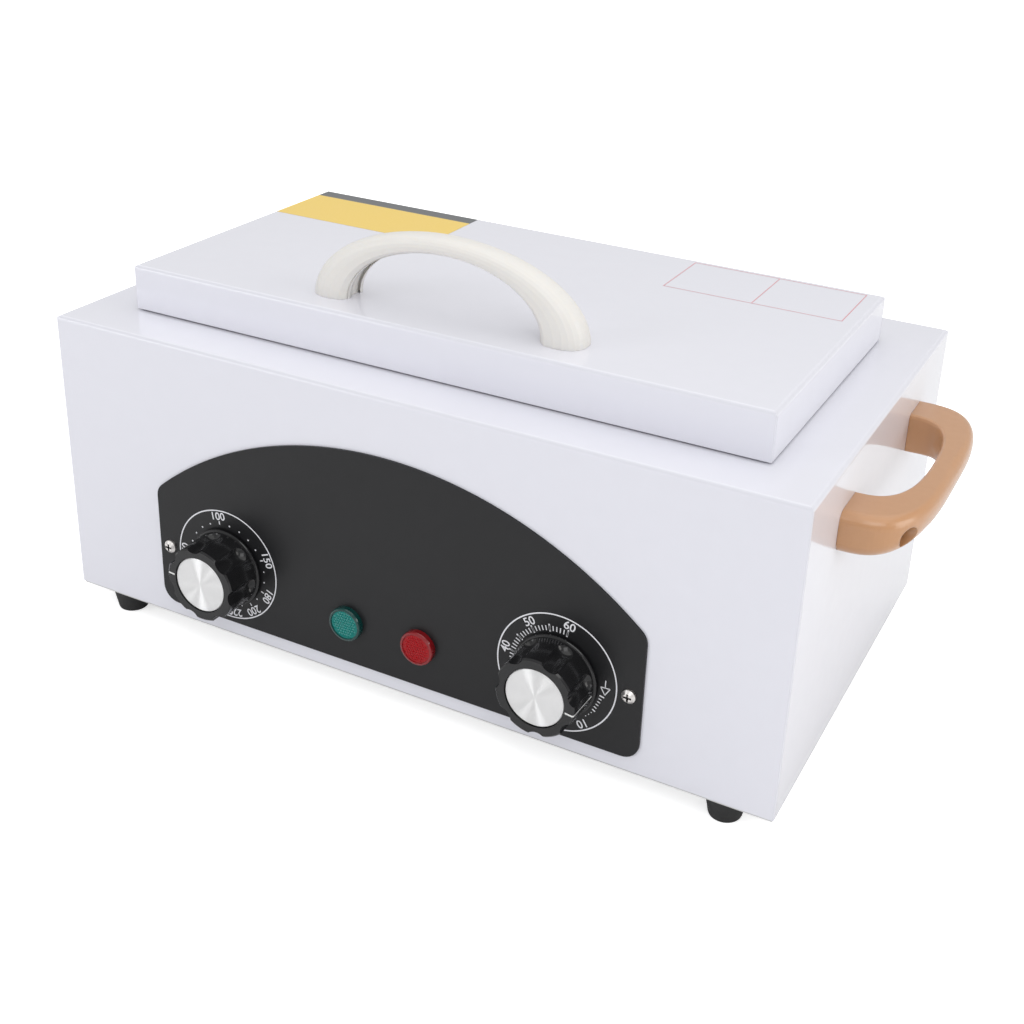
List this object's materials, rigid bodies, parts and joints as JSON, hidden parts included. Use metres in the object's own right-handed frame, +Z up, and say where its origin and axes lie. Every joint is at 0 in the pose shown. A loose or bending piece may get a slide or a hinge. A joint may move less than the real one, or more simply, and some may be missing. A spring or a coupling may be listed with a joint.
{
  "type": "dry heat sterilizer",
  "caption": "Bench dry heat sterilizer: white steel box, hinged lid with an arched handle, steel chamber with a tray, two fluted dials, two lamps, tan carrying handles",
  "frame": {"origin": "on the table, under the middle of the outline", "axes": "+X to the right facing the dials, +Y to the rear, +Z up"},
  "size_m": [0.423, 0.246, 0.2092],
  "materials": {
    "white_paint": "glossy white powder coat",
    "plated_steel": "zinc plated",
    "black_panel": "satin black enamel",
    "black_rubber": "matt",
    "green_lens": "clear moulded",
    "red_lens": "clear moulded",
    "black_plastic": "moulded",
    "copper_tube": "drawn",
    "ivory_plastic": "moulded",
    "spun_aluminium": "spun",
    "stainless_steel": "brushed",
    "wool_felt": "mineral wool",
    "dark_steel": "heat darkened",
    "tan_plastic": "moulded",
    "seal_rubber": "silicone",
    "chrome_screw": "plated",
    "black_screw": "blackened"
  },
  "bodies": {
    "housing": {"outer_casing": "white_paint", "base_plate": "plated_steel", "control_panel": "black_panel", "foot_front_left": "black_rubber", "foot_front_right": "black_rubber", "foot_rear_left": "black_rubber", "foot_rear_right": "black_rubber", "green_lens": "green_lens", "red_lens": "red_lens", "green_lamp_holder": "black_plastic", "red_lamp_holder": "black_plastic", "thermostat": "plated_steel", "thermostat_bulb": "copper_tube", "timer": "ivory_plastic", "chamber_liner": "stainless_steel", "instrument_tray": "stainless_steel", "tray_handles": "stainless_steel", "insulation_jacket": "wool_felt", "heating_element": "dark_steel", "heat_shield": "plated_steel", "side_handle_left": "tan_plastic", "side_handle_right": "tan_plastic", "cord_gland": "black_rubber", "terminal_block": "ivory_plastic", "base_screws": "chrome_screw", "foot_screws": "chrome_screw", "panel_screws": "chrome_screw", "control_screws": "black_screw", "side_handle_screws": "chrome_screw", "side_handle_nuts": "chrome_screw", "hinge_lower_left": "plated_steel", "hinge_lower_right": "plated_steel", "hinge_pin_left": "plated_steel", "hinge_pin_right": "plated_steel", "hinge_screws": "chrome_screw"},
    "lid": {"lid_shell": "white_paint", "lid_inner_panel": "stainless_steel", "lid_insulation": "wool_felt", "lid_seal": "seal_rubber", "lid_handle": "ivory_plastic", "lid_handle_screws": "chrome_screw", "hinge_upper_left": "plated_steel", "hinge_upper_right": "plated_steel", "lid_hinge_screws": "chrome_screw"},
    "temperature_control": {"thermostat_shaft": "plated_steel", "temperature_knob": "black_plastic", "temperature_knob_cap": "spun_aluminium"},
    "timer_control": {"timer_shaft": "plated_steel", "timer_knob": "black_plastic", "timer_knob_cap": "spun_aluminium"}
  },
  "joints": [
    {"name": "lid_hinge", "type": "hinge", "parent": "housing", "child": "lid", "pos_m": [0, 0.0818, 0.1553], "axis": [-1, 0, 0], "range_deg": [0, 105]},
    {"name": "temperature_dial", "type": "hinge", "parent": "housing", "child": "temperature_control", "pos_m": [-0.08725, -0.103, 0.0482], "axis": [0, 1, 0], "range_deg": [0, 258]},
    {"name": "timer_dial", "type": "hinge", "parent": "housing", "child": "timer_control", "pos_m": [0.08225, -0.103, 0.0482], "axis": [0, 1, 0], "range_deg": [0, 276]}
  ]
}
